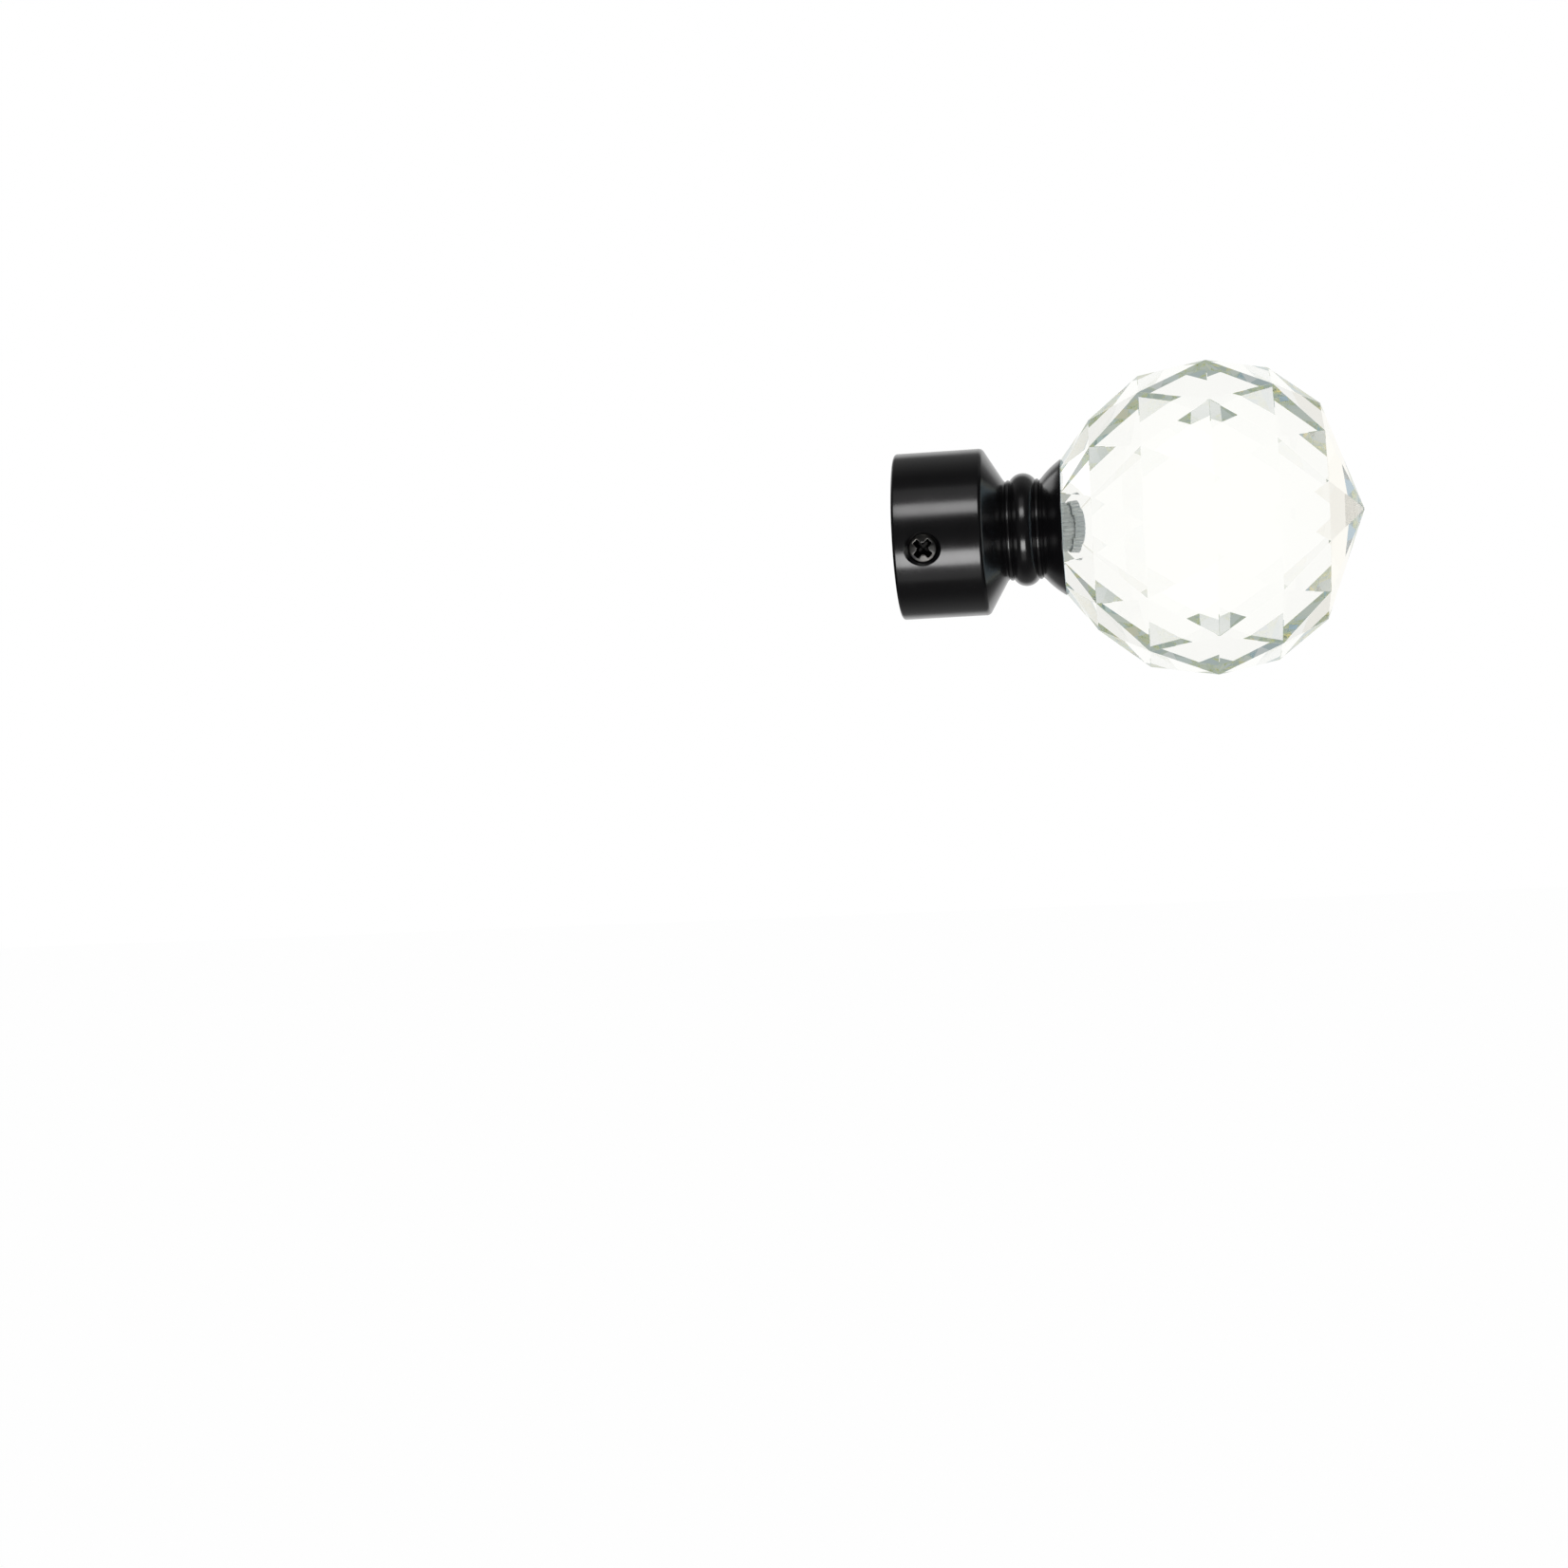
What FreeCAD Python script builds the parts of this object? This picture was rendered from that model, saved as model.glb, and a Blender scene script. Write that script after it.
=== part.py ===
"""Curtain pole finial: a turned metal collar that carries a facetted glass ball.

The finial lies along +X as it does on a level pole. X = 0 is the mouth of the
pole socket, the tip of the ball is at the +X end, +Z is up and the set screw
faces -Y, a little below the level of the axis. All sizes are in millimetres.
"""

import FreeCAD, Part
import math
import os

import Sketcher

# Driving sizes. Angles are in degrees, and those of the ball's rings run from its tip.
SIZES = {
    # Pole socket and the plain cylinder round it.
    "pole_dia": 16.0,
    "pole_clearance": 0.3,
    "socket_depth": 13.0,
    "collar_dia": 25.8,
    "collar_len": 13.55,
    "edge_round": 0.45,
    # Turned neck: shoulder, ridge, bead, ridge and a cup that takes the ball.
    "shoulder_end": 16.6,
    "neck_dia": 15.0,
    "ridge_height": 0.3,
    "ridge_pitch": 0.7,
    "ridge_round": 0.36,
    "bead_pos": 19.55,
    "bead_dia": 17.45,
    "bead_section": 2.3,
    "cup_start": 22.45,
    "cup_round": 14.0,
    "rim_dia": 20.9,
    "rim_land": 0.15,
    "face_pos": 25.6,
    # Set screw and its hole in the socket wall.
    "screw_dia": 5.0,
    "screw_len": 4.0,
    "screw_pos": 4.55,
    "screw_angle": 9.0,
    "screw_sink": 0.75,
    "screw_bevel": 0.35,
    "sink_dia": 5.7,
    "recess_span": 3.7,
    "recess_slot": 1.3,
    "recess_depth": 1.8,
    "recess_taper": 12.0,
    "recess_turn": 45.0,
    # Stud: a threaded shank in the collar, a ridged insert in the glass.
    "shank_dia": 5.0,
    "shank_len": 7.0,
    "tap_runout": 1.0,
    "insert_dia": 6.0,
    "insert_len": 8.0,
    "insert_groove": 5.3,
    "groove_width": 0.6,
    "groove_depth": 0.5,
    "flute_count": 24,
    "flute_depth": 0.25,
    # Facetted ball, a little less deep than it is wide: rings of points between
    # a tip and a flat that is ground on its back.
    "ball_dia": 49.0,
    "ball_depth": 47.2,
    "tip_reach": 23.5,
    "back_reach": 22.0,
    "back_dia": 20.8,
    "facet_count": 12,
    "facet_angle": 15.0,
    "ring_a_angle": 43.3,
    "ring_b_angle": 65.2,
    "ring_c_angle": 88.9,
    "ring_d_angle": 114.4,
    "ring_e_angle": 137.5,
}

RING_ANGLES = (
    "ring_a_angle",
    "ring_b_angle",
    "ring_c_angle",
    "ring_d_angle",
    "ring_e_angle",
)

doc = FreeCAD.newDocument("curtain_pole_finial")


def make_sheet():
    """Write the driving sizes to a spreadsheet, one named cell each."""
    sheet = doc.addObject("Spreadsheet::Sheet", "Sizes")
    for row, (alias, value) in enumerate(SIZES.items(), start=1):
        sheet.set(f"A{row}", alias)
        sheet.set(f"B{row}", str(value))
        sheet.setAlias(f"B{row}", alias)
    doc.recompute()
    return sheet


def plane(body, role):
    """Return one of a body's own origin planes or axes by its role."""
    return next(f for f in body.Origin.OriginFeatures if f.Role == role)


def add_sketch(body, name, role):
    """Add an empty sketch to a body, flat on one of its origin planes."""
    sketch = body.newObject("Sketcher::SketchObject", name)
    sketch.AttachmentSupport = [(plane(body, role), "")]
    sketch.MapMode = "FlatFace"
    return sketch


def bind_point(sketch, geo, pos, name, coords):
    """Hold a sketch point at two sheet expressions; "0" puts it on an axis."""
    for direction, axis, expression in (("X", -2, coords[0]), ("Y", -1, coords[1])):
        if expression == "0":
            sketch.addConstraint(Sketcher.Constraint("PointOnObject", geo, pos, axis))
            continue
        value = sketch.evalExpression(expression)
        label = f"{name}_{direction.lower()}"
        index = sketch.addConstraint(
            Sketcher.Constraint(f"Distance{direction}", -1, 1, geo, pos, float(value))
        )
        sketch.renameConstraint(index, label)
        sketch.setExpression(f"Constraints.{label}", expression)


def at(sketch, coords):
    """Return the point that two sheet expressions give."""
    x, y = (0.0 if e == "0" else float(sketch.evalExpression(e)) for e in coords)
    return FreeCAD.Vector(x, y, 0)


def arc_middle(start, end, radius):
    """Return the middle of the arc that bulges to the left of its way."""
    chord = end - start
    rise = radius - math.sqrt(radius**2 - (chord.Length / 2) ** 2)
    left = FreeCAD.Vector(-chord.y, chord.x, 0).normalize()
    return (start + end) * 0.5 + left * rise


def outline(sketch, points, arcs=None):
    """Draw a closed outline through named points.

    points maps a name to a pair of sheet expressions. arcs maps the name of a
    point to the radius of an arc that leaves it, also a sheet expression.
    """
    arcs = arcs or {}
    names = list(points)
    edges = []
    for index, name in enumerate(names):
        start = at(sketch, points[name])
        end = at(sketch, points[names[(index + 1) % len(names)]])
        if name in arcs:
            # A sketch keeps its arcs anticlockwise, so this one runs backwards.
            middle = arc_middle(start, end, float(sketch.evalExpression(arcs[name])))
            edges.append((sketch.addGeometry(Part.Arc(end, middle, start), False), 2, 1))
        else:
            edges.append((sketch.addGeometry(Part.LineSegment(start, end), False), 1, 2))
    for index, (geo, start_pos, _) in enumerate(edges):
        previous, _, end_pos = edges[index - 1]
        sketch.addConstraint(Sketcher.Constraint("Coincident", previous, end_pos, geo, start_pos))
        bind_point(sketch, geo, start_pos, names[index], points[names[index]])
    for name, radius in arcs.items():
        geo = edges[names.index(name)][0]
        value = float(sketch.evalExpression(radius))
        number = sketch.addConstraint(Sketcher.Constraint("Radius", geo, value))
        sketch.renameConstraint(number, f"{name}_radius")
        sketch.setExpression(f"Constraints.{name}_radius", radius)


def circle(sketch, centre, radius):
    """Draw a circle that sheet expressions place and size."""
    value = float(sketch.evalExpression(radius))
    geo = sketch.addGeometry(Part.Circle(at(sketch, centre), FreeCAD.Vector(0, 0, 1), value), False)
    bind_point(sketch, geo, 3, "centre", centre)
    index = sketch.addConstraint(Sketcher.Constraint("Radius", geo, value))
    sketch.renameConstraint(index, "radius")
    sketch.setExpression("Constraints.radius", radius)


def turn(body, kind, name, sketch, axis="H_Axis"):
    """Revolve a sketch about one of its own axes, to add or to cut."""
    feature = body.newObject(f"PartDesign::{kind}", name)
    feature.Profile = sketch
    feature.ReferenceAxis = (sketch, [axis])
    feature.Angle = 360.0
    doc.recompute()
    return feature


def checked_cut(body, feature, before):
    """Stop if a cut has taken nothing off its body."""
    doc.recompute()
    if body.Shape.Volume >= before - 1e-6:
        raise RuntimeError(f"{feature.Name} cuts nothing")


def collar_outline():
    """Return the points and arcs of the collar's outside, from mouth to face."""
    pitch = "Sizes.ridge_pitch"
    root = "Sizes.neck_dia / 2"
    crest = f"{root} + Sizes.ridge_height"
    rim = "Sizes.rim_dia / 2"
    points = {
        "mouth_axis": ("0", "0"),
        "mouth_edge": ("0", "Sizes.collar_dia / 2"),
        "shoulder_top": ("Sizes.collar_len", "Sizes.collar_dia / 2"),
        "shoulder_foot": ("Sizes.shoulder_end", crest),
        "first_ridge": (f"Sizes.shoulder_end + 0.5 * {pitch}", root),
        "first_ridge_end": (f"Sizes.shoulder_end + 1.5 * {pitch}", root),
        "second_ridge": (f"Sizes.cup_start - 1.5 * {pitch}", root),
        "second_ridge_end": (f"Sizes.cup_start - 0.5 * {pitch}", root),
        "cup_foot": ("Sizes.cup_start", crest),
        "rim_back": ("Sizes.face_pos - Sizes.rim_land", rim),
        "rim_front": ("Sizes.face_pos", rim),
        "face_axis": ("Sizes.face_pos", "0"),
    }
    arcs = {
        "first_ridge": "Sizes.ridge_round",
        "second_ridge": "Sizes.ridge_round",
        "cup_foot": "Sizes.cup_round",
    }
    return points, arcs


def mouth_and_shoulder_edges(shape):
    """Return the names of the round edges at the two ends of the plain cylinder."""
    names = []
    for number, edge in enumerate(shape.Edges, start=1):
        curve = edge.Curve
        if not isinstance(curve, Part.Circle):
            continue
        if abs(curve.Radius - SIZES["collar_dia"] / 2) < 1e-6 and abs(curve.Axis.x) > 0.99:
            names.append(f"Edge{number}")
    return names


def make_collar():
    """Turn the collar: socket, shoulder, ridges, bead and cup."""
    body = doc.addObject("PartDesign::Body", "collar")
    body.Label = "collar"

    # The outside, turned about the pole's axis.
    form = add_sketch(body, "collar_form", "XZ_Plane")
    outline(form, *collar_outline())
    turn(body, "Revolution", "collar_turned", form)

    # The bead between the two ridges.
    bead = add_sketch(body, "bead_section", "XZ_Plane")
    circle(bead, ("Sizes.bead_pos", "Sizes.bead_dia / 2 - Sizes.bead_section"), "Sizes.bead_section")
    turn(body, "Revolution", "bead", bead)

    # Blind socket for the pole.
    socket = add_sketch(body, "socket_section", "XZ_Plane")
    wall = "Sizes.pole_dia / 2 + Sizes.pole_clearance"
    outline(socket, {
        "mouth": ("0", "0"),
        "mouth_wall": ("0", wall),
        "floor_wall": ("Sizes.socket_depth", wall),
        "floor": ("Sizes.socket_depth", "0"),
    })
    before = body.Shape.Volume
    checked_cut(body, turn(body, "Groove", "pole_socket", socket), before)

    # Blind tapped hole for the stud, with the drill's cone at its bottom.
    tap = add_sketch(body, "stud_hole_section", "XZ_Plane")
    bore = "Sizes.shank_dia / 2"
    bottom = "Sizes.face_pos - Sizes.shank_len - Sizes.tap_runout"
    outline(tap, {
        "face": ("Sizes.face_pos", "0"),
        "face_wall": ("Sizes.face_pos", bore),
        "bottom_wall": (bottom, bore),
        "bottom": (f"{bottom} - Sizes.shank_dia * 0.3", "0"),
    })
    before = body.Shape.Volume
    checked_cut(body, turn(body, "Groove", "stud_hole", tap), before)

    # Tapped side hole with a countersunk mouth, for the set screw. The sketch
    # lies on the hole's own axis, turned down from the level by screw_angle.
    side = add_sketch(body, "screw_hole_section", "XY_Plane")
    side.AttachmentOffset = FreeCAD.Placement(
        FreeCAD.Vector(SIZES["screw_pos"], 0, 0),
        FreeCAD.Rotation(FreeCAD.Vector(1, 0, 0), 180 + SIZES["screw_angle"]),
    )
    side.setExpression("AttachmentOffset.Base.x", "Sizes.screw_pos")
    side.setExpression("AttachmentOffset.Rotation.Angle", "180 + Sizes.screw_angle")
    hole = "Sizes.screw_dia / 2"
    skin = "Sizes.collar_dia / 2"
    outline(side, {
        "inner": ("0", "Sizes.pole_dia / 4"),
        "inner_wall": (hole, "Sizes.pole_dia / 4"),
        "sink_start": (hole, f"{skin} - (Sizes.sink_dia - Sizes.screw_dia) / 2"),
        "sink_end": ("Sizes.sink_dia / 2", skin),
        "outer_wall": ("Sizes.sink_dia / 2", f"{skin} + 1"),
        "outer": ("0", f"{skin} + 1"),
    })
    before = body.Shape.Volume
    checked_cut(body, turn(body, "Groove", "screw_hole", side, "V_Axis"), before)

    # Softened edges at the cylinder's two ends.
    sharp = body.Tip
    softened = body.newObject("PartDesign::Fillet", "edge_round")
    softened.Base = (sharp, mouth_and_shoulder_edges(sharp.Shape))
    softened.setExpression("Radius", "Sizes.edge_round")
    body.Tip = softened
    doc.recompute()
    return body


def make_set_screw():
    """Turn the set screw, sink its cross recess and place it in the side hole."""
    body = doc.addObject("PartDesign::Body", "set_screw")
    body.Label = "set_screw"

    # A plain rod along the screw's own Z with both ends chamfered. Z = 0 is
    # its flat point and the recess is at the other end.
    rod = add_sketch(body, "screw_section", "XZ_Plane")
    outer = "Sizes.screw_dia / 2"
    bevel = "Sizes.screw_bevel"
    outline(rod, {
        "point": ("0", "0"),
        "point_edge": (f"{outer} - 2 * {bevel}", "0"),
        "point_bevel": (outer, f"2 * {bevel}"),
        "head_bevel": (outer, f"Sizes.screw_len - {bevel}"),
        "head_edge": (f"{outer} - {bevel}", "Sizes.screw_len"),
        "head": ("0", "Sizes.screw_len"),
    })
    turn(body, "Revolution", "screw_turned", rod, "V_Axis")

    # Cross recess: two tapered slots at right angles.
    for number, turned in enumerate((0.0, 90.0)):
        slot = add_sketch(body, f"recess_slot_{number}", "XY_Plane")
        slot.AttachmentOffset = FreeCAD.Placement(
            FreeCAD.Vector(0, 0, SIZES["screw_len"]),
            FreeCAD.Rotation(FreeCAD.Vector(0, 0, 1), SIZES["recess_turn"] + turned),
        )
        slot.setExpression("AttachmentOffset.Base.z", "Sizes.screw_len")
        slot.setExpression("AttachmentOffset.Rotation.Angle", f"Sizes.recess_turn + {turned}")
        half_span = SIZES["recess_span"] / 2
        half_slot = SIZES["recess_slot"] / 2
        corners = [(-1, -1), (1, -1), (1, 1), (-1, 1)]
        corners = [FreeCAD.Vector(a * half_span, b * half_slot, 0) for a, b in corners]
        for start, end in zip(corners, corners[1:] + corners[:1]):
            slot.addGeometry(Part.LineSegment(start, end), False)
        for a, b in ((0, 1), (1, 2), (2, 3), (3, 0)):
            slot.addConstraint(Sketcher.Constraint("Coincident", a, 2, b, 1))
        slot.addConstraint(Sketcher.Constraint("Horizontal", 0))
        slot.addConstraint(Sketcher.Constraint("Horizontal", 2))
        slot.addConstraint(Sketcher.Constraint("Vertical", 1))
        slot.addConstraint(Sketcher.Constraint("Vertical", 3))
        slot.addConstraint(Sketcher.Constraint("Symmetric", 0, 1, 2, 1, -1, 1))
        for name, geo, size in (("span", 0, "recess_span"), ("slot", 1, "recess_slot")):
            index = slot.addConstraint(Sketcher.Constraint("Distance", geo, SIZES[size]))
            slot.renameConstraint(index, name)
            slot.setExpression(f"Constraints.{name}", f"Sizes.{size}")
        cut = body.newObject("PartDesign::Pocket", f"recess_{number}")
        cut.Profile = slot
        cut.Type = 0
        cut.setExpression("TaperAngle", "-Sizes.recess_taper")
        before = body.Shape.Volume
        cut.setExpression("Length", "Sizes.recess_depth")
        body.Tip = cut
        checked_cut(body, cut, before)

    # Into the side hole: the screw's Z points out of the collar.
    tilt = math.radians(SIZES["screw_angle"])
    outward = FreeCAD.Vector(0, -math.cos(tilt), -math.sin(tilt))
    reach = SIZES["collar_dia"] / 2 - SIZES["screw_sink"] - SIZES["screw_len"]
    body.Placement = FreeCAD.Placement(
        FreeCAD.Vector(SIZES["screw_pos"], 0, 0) + outward * reach,
        FreeCAD.Rotation(FreeCAD.Vector(1, 0, 0), 90 + SIZES["screw_angle"]),
    )
    reach = "(Sizes.collar_dia / 2 - Sizes.screw_sink - Sizes.screw_len)"
    body.setExpression("Placement.Base.x", "Sizes.screw_pos")
    body.setExpression("Placement.Base.y", f"-{reach} * cos(Sizes.screw_angle * 1deg)")
    body.setExpression("Placement.Base.z", f"-{reach} * sin(Sizes.screw_angle * 1deg)")
    body.setExpression("Placement.Rotation.Angle", "90 + Sizes.screw_angle")
    doc.recompute()
    return body


def make_ball_stud():
    """Turn the stud and cut the straight ridges of its insert."""
    body = doc.addObject("PartDesign::Body", "ball_stud")
    body.Label = "ball_stud"

    section = add_sketch(body, "stud_section", "XZ_Plane")
    shank = "Sizes.shank_dia / 2"
    insert = "Sizes.insert_dia / 2"
    floor = f"{insert} - Sizes.groove_depth"
    face = "Sizes.face_pos"
    groove = f"{face} + Sizes.insert_groove"
    outline(section, {
        "shank_end": (f"{face} - Sizes.shank_len", "0"),
        "shank_edge": (f"{face} - Sizes.shank_len", f"{shank} - 0.5"),
        "shank_bevel": (f"{face} - Sizes.shank_len + 0.5", shank),
        "face_inner": (face, shank),
        "face_outer": (face, insert),
        "groove_start": (f"{groove} - Sizes.groove_width / 2", insert),
        "groove_floor": (f"{groove} - Sizes.groove_width / 2", floor),
        "groove_floor_end": (f"{groove} + Sizes.groove_width / 2", floor),
        "groove_end": (f"{groove} + Sizes.groove_width / 2", insert),
        "insert_edge": (f"{face} + Sizes.insert_len", insert),
        "insert_end": (f"{face} + Sizes.insert_len", "0"),
    })
    turn(body, "Revolution", "stud_turned", section)

    # One V flute, repeated round the insert. Its sketch lies across the axis.
    flute = add_sketch(body, "flute_section", "YZ_Plane")
    flute.AttachmentOffset = FreeCAD.Placement(
        FreeCAD.Vector(0, 0, SIZES["face_pos"]), FreeCAD.Rotation()
    )
    flute.setExpression("AttachmentOffset.Base.z", face)
    width = "pi * Sizes.insert_dia / Sizes.flute_count * 0.4"
    outline(flute, {
        "bottom": ("0", f"{insert} - Sizes.flute_depth"),
        "right": (width, f"{insert} + 0.1"),
        "top": ("0", f"{insert} + 0.2"),
    })
    groove_cut = body.newObject("PartDesign::Pocket", "flute")
    groove_cut.Profile = flute
    groove_cut.Reversed = True
    before = body.Shape.Volume
    groove_cut.setExpression("Length", "Sizes.insert_len")
    body.Tip = groove_cut
    checked_cut(body, groove_cut, before)

    ring = body.newObject("PartDesign::PolarPattern", "flutes")
    ring.Originals = [groove_cut]
    ring.Axis = (plane(body, "X_Axis"), [""])
    ring.Angle = 360
    ring.setExpression("Occurrences", "Sizes.flute_count")
    body.Tip = ring
    doc.recompute()
    return body


def ball_points(sheet):
    """Return the ball's tip and its rings of points, offset by half a facet."""
    count = int(sheet.facet_count)
    centre = sheet.face_pos + sheet.back_reach
    start = math.radians(sheet.facet_angle)
    step = 2 * math.pi / count
    polar = [math.radians(getattr(sheet, name)) for name in RING_ANGLES]
    stations = [
        (centre + sheet.ball_depth / 2 * math.cos(a), sheet.ball_dia / 2 * math.sin(a))
        for a in polar
    ]
    stations.append((sheet.face_pos, sheet.back_dia / 2))
    rings = []
    for number, (position, radius) in enumerate(stations):
        turns = [start + step * (index + (number % 2) / 2) for index in range(count)]
        rings.append([
            FreeCAD.Vector(position, -radius * math.sin(a), radius * math.cos(a)) for a in turns
        ])
    return FreeCAD.Vector(centre + sheet.tip_reach, 0, 0), rings


def ball_facets(tip, rings):
    """Return the corner points of every facet, from the tip to the flat back."""
    count = len(rings[0])
    facets = [(tip, rings[0][i], rings[0][(i + 1) % count]) for i in range(count)]
    for number in range(len(rings) - 1):
        near, far = rings[number], rings[number + 1]
        for i in range(count):
            j = (i + 1) % count
            if number % 2 == 0:
                facets.append((near[i], far[i], near[j]))
                facets.append((near[j], far[i], far[j]))
            else:
                facets.append((near[i], far[j], near[j]))
                facets.append((near[i], far[i], far[j]))
    facets.append(tuple(rings[-1]))
    return facets


def make_crystal_ball(sheet):
    """Grind the ball's facets and drill the blind hole for the insert."""
    tip, rings = ball_points(sheet)
    faces = [
        Part.Face(Part.makePolygon(list(corners) + [corners[0]]))
        for corners in ball_facets(tip, rings)
    ]
    solid = Part.Solid(Part.Shell(faces))
    if solid.Volume < 0:
        solid.reverse()
    facetted = doc.addObject("Part::Feature", "facetted_ball")
    facetted.Shape = solid

    drill = doc.addObject("Part::Cylinder", "insert_hole")
    drill.setExpression("Radius", "Sizes.insert_dia / 2")
    drill.setExpression("Height", "Sizes.insert_len")
    drill.Placement = FreeCAD.Placement(
        FreeCAD.Vector(sheet.face_pos, 0, 0), FreeCAD.Rotation(FreeCAD.Vector(0, 1, 0), 90)
    )
    drill.setExpression("Placement.Base.x", "Sizes.face_pos")

    ball = doc.addObject("Part::Cut", "crystal_ball")
    ball.Base = facetted
    ball.Tool = drill
    ball.Label = "crystal_ball"
    doc.recompute()
    return ball


def main():
    """Build the four pieces, check them and write one file each."""
    sheet = make_sheet()
    pieces = [
        make_collar(),
        make_set_screw(),
        make_ball_stud(),
        make_crystal_ball(sheet),
    ]
    doc.recompute()

    for item in doc.Objects:
        if {"Invalid", "Error"} & set(item.State):
            raise RuntimeError(f"{item.Name} failed: {item.State}")
    for piece in pieces:
        if piece.Shape.isNull() or not piece.Shape.isValid():
            raise RuntimeError(f"{piece.Label} has no valid shape")
        if len(piece.Shape.Solids) != 1:
            raise RuntimeError(f"{piece.Label} has {len(piece.Shape.Solids)} solids")

    os.makedirs("parts", exist_ok=True)
    for piece in pieces:
        piece.Shape.exportStep(f"parts/{piece.Label}.step")
        box = piece.Shape.BoundBox
        print(f"{piece.Label}: {piece.Shape.Volume:.1f} mm3, X {box.XMin:.2f} to {box.XMax:.2f}")


main()
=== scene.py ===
"""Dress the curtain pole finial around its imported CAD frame.

The sizes of the pieces are in millimetres and become metres where a mesh is
made. The camera, the lamps and the floor are placed in metres. The finial lies
along +X: the socket's mouth is at X = 0, the tip of the glass ball is at the +X
end, +Z is up, and the set screw faces -Y.
"""

import logging
import math
from collections.abc import Callable, Iterator, Sequence
from contextlib import contextmanager
from dataclasses import dataclass
from enum import Enum

import bmesh
import bpy
from mathutils import Matrix, Vector

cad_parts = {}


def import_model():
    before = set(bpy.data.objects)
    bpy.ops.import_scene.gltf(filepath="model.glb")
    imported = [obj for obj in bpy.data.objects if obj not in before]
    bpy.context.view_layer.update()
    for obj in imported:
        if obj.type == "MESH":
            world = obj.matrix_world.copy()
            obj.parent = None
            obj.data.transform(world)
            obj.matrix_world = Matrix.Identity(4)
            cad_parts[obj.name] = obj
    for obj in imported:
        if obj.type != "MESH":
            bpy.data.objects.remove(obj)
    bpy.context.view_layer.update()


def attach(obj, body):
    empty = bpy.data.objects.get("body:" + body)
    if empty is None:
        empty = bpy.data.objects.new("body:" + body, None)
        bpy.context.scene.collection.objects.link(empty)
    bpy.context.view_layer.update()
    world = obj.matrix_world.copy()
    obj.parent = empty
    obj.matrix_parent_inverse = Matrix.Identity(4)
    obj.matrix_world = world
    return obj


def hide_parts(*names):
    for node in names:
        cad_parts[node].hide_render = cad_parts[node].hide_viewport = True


LOG = logging.getLogger("finial")
MM = 0.001

# The place along X where the ball's flat back and the collar's face meet, and
# how far each of them stands back from it.
SEAT_AT = 25.6
SEAT_GAP = 0.015
# How deep a thread's foot is sunk into its rod.
THREAD_BED = 0.03
# How far a cutter sticks out of the piece that it cuts.
OVERCUT = 1.0
# How far off its place an edge or a face may lie and still be picked.
SLACK = 0.02
# These stand a piece that lies along X upright, and lay an upright one along X.
X_TO_Z = Matrix.Rotation(-math.pi / 2, 4, "Y")
Z_TO_X = Matrix.Rotation(math.pi / 2, 4, "Y")

# A place along X and the radius there.
Station = tuple[float, float]
# The least and the most, or the start and the end, of something.
Span = tuple[float, float]
Colour = tuple[float, float, float]
# A place on a scale, such as one part of a direction, and the colour there.
Glow = tuple[float, Colour]
# Says yes or no from an element's middle, in mm, and its normal.
Test = Callable[[Vector, Vector], bool]
# What goes into a node's input: a number, or the socket that it comes from.
Feed = bpy.types.NodeSocket | float


# Bench tools


class Pick(Enum):
    """The kind of element that a selection in edit mode is made of."""

    VERTS = "VERT"
    EDGES = "EDGE"
    FACES = "FACE"


def deselect_all() -> None:
    """Leave nothing selected in object mode."""
    for thing in list(bpy.context.selected_objects):
        thing.select_set(False)


def activate(piece: bpy.types.Object) -> None:
    """Make one piece the only selected and the active one.

    Args:
        piece: The piece to work on.
    """
    deselect_all()
    piece.select_set(True)
    bpy.context.view_layer.objects.active = piece


@contextmanager
def edit_mode(piece: bpy.types.Object) -> Iterator[None]:
    """Work on one piece in edit mode, and come back to object mode.

    Args:
        piece: The piece to edit.
    """
    activate(piece)
    bpy.ops.object.mode_set(mode="EDIT")
    yield
    bpy.ops.object.mode_set(mode="OBJECT")


def pick(piece: bpy.types.Object, kind: Pick, test: Test, sharper: float = 0.0) -> int:
    """Select the elements of a piece in edit mode that pass a test.

    Args:
        piece: The piece, in edit mode.
        kind: Vertices, edges or faces.
        test: Says yes or no from an element's middle and its normal, in mm. An
            edge's "normal" is its direction.
        sharper: The least angle, in degrees, that an edge's two faces make.

    Returns:
        How many elements are selected.
    """
    bpy.ops.mesh.select_mode(type=kind.value)
    bpy.ops.mesh.select_all(action="DESELECT")
    mesh = bmesh.from_edit_mesh(piece.data)
    chosen = 0
    if kind is Pick.VERTS:
        for vert in mesh.verts:
            vert.select_set(test(vert.co / MM, vert.normal))
            chosen += vert.select
    elif kind is Pick.EDGES:
        for edge in mesh.edges:
            first, second = (v.co / MM for v in edge.verts)
            edge.select_set(
                edge.calc_face_angle(0.0) >= math.radians(sharper)
                and test((first + second) / 2, (second - first).normalized())
            )
            chosen += edge.select
    else:
        for face in mesh.faces:
            face.select_set(test(face.calc_center_median() / MM, face.normal))
            chosen += face.select
    mesh.select_flush_mode()
    bmesh.update_edit_mesh(piece.data)
    return chosen


def radius_of(point: Vector) -> float:
    """Return a point's distance from the finial's axis."""
    return math.hypot(point.y, point.z)


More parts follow.
